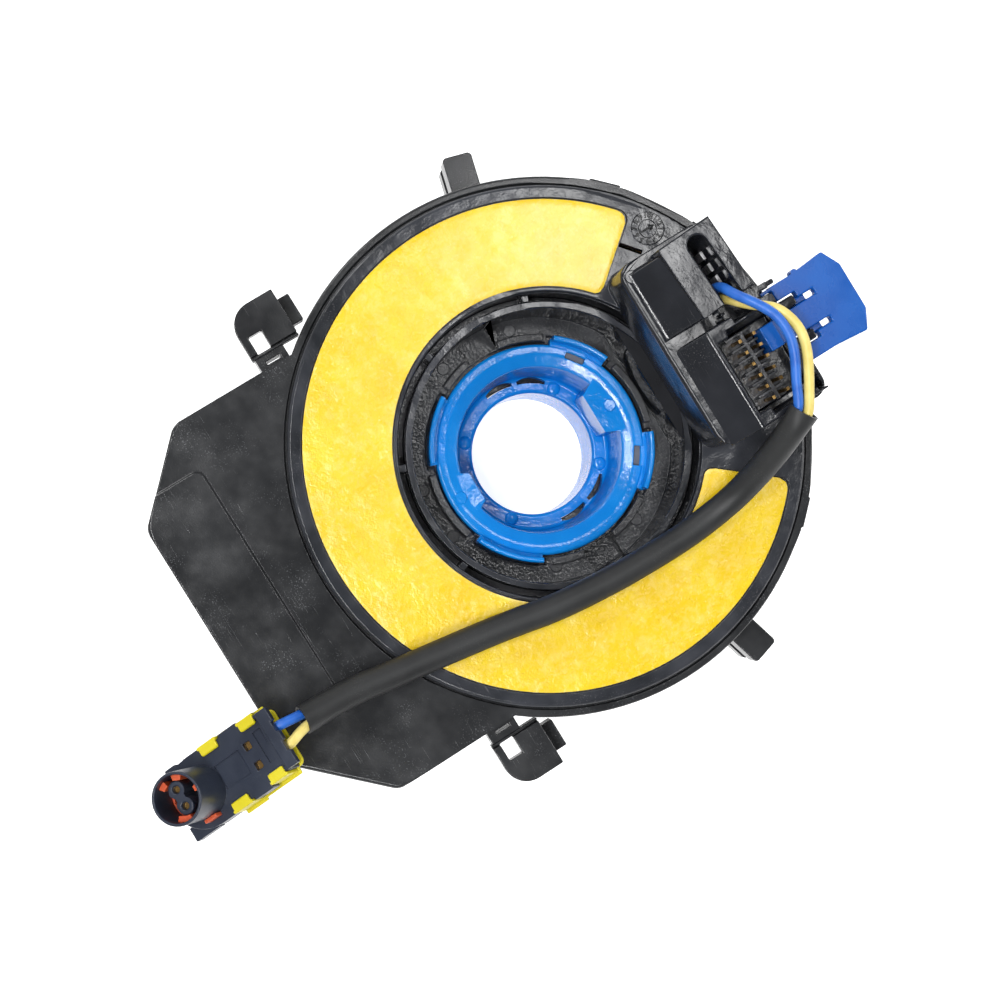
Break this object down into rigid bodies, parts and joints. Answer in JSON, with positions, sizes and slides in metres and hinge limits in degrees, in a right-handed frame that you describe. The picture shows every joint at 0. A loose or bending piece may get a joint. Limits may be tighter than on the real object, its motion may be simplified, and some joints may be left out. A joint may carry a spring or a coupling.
{
  "type": "steering clock spring",
  "caption": "Steering clock spring: flat rotor with blue hub ring, label, socket tower and shipping lock, in a round housing with a connector box and an airbag lead.",
  "frame": {"origin": "on the column axis, at the end of the bore's tube, level with the underside of the connector box", "axes": "+Z along the column axis towards the driver, +Y from the axis to the socket tower; the connector box lies towards -Y"},
  "size_m": [0.1219, 0.1692, 0.0602],
  "materials": {
    "black_plastic": "satin moulded plastic",
    "hub_blue": "satin blue plastic",
    "lock_blue": "satin deep blue plastic",
    "label_yellow": "glossy printed film",
    "clip_yellow": "satin yellow plastic",
    "socket_grey": "satin grey plastic",
    "natural_plastic": "natural white plastic",
    "ribbon_film": "laminated film with flat conductors",
    "contact_metal": "plated contacts",
    "wire_blue": "soft wire coat",
    "wire_yellow": "soft wire coat",
    "sleeve_black": "matt soft tube",
    "connector_slate": "satin dark plastic",
    "insert_orange": "satin orange plastic"
  },
  "bodies": {
    "stator": {"housing": "black_plastic", "back_cover": "black_plastic", "airbag_header": "clip_yellow", "airbag_header_pins": "contact_metal", "switch_header": "socket_grey", "switch_header_pins": "contact_metal", "ribbon_outer_block": "natural_plastic", "ribbon_cable": "ribbon_film"},
    "rotor": {"rotor_cover": "black_plastic", "rotor_hub": "black_plastic", "retainer": "natural_plastic", "hub_ring": "hub_blue", "ribbon_inner_block": "natural_plastic", "socket_insert": "black_plastic", "switch_pins": "contact_metal", "squib_contacts": "contact_metal", "label": "label_yellow", "wire_blue": "wire_blue", "wire_yellow": "wire_yellow", "harness_sleeve": "sleeve_black", "connector_body": "connector_slate", "connector_cover": "connector_slate", "connector_clip": "clip_yellow", "connector_insert": "insert_orange", "connector_contacts": "contact_metal"},
    "lock": {"shipping_lock": "lock_blue"}
  },
  "joints": [
    {"name": "rotor_turn", "type": "hinge", "parent": "stator", "child": "rotor", "pos_m": [0, 0, 0], "axis": [0, 0, 1], "range_deg": [-1080, 1080]},
    {"name": "lock_slide", "type": "slide", "parent": "rotor", "child": "lock", "axis": [0, 1, 0], "range_m": [0, 0.025]}
  ]
}
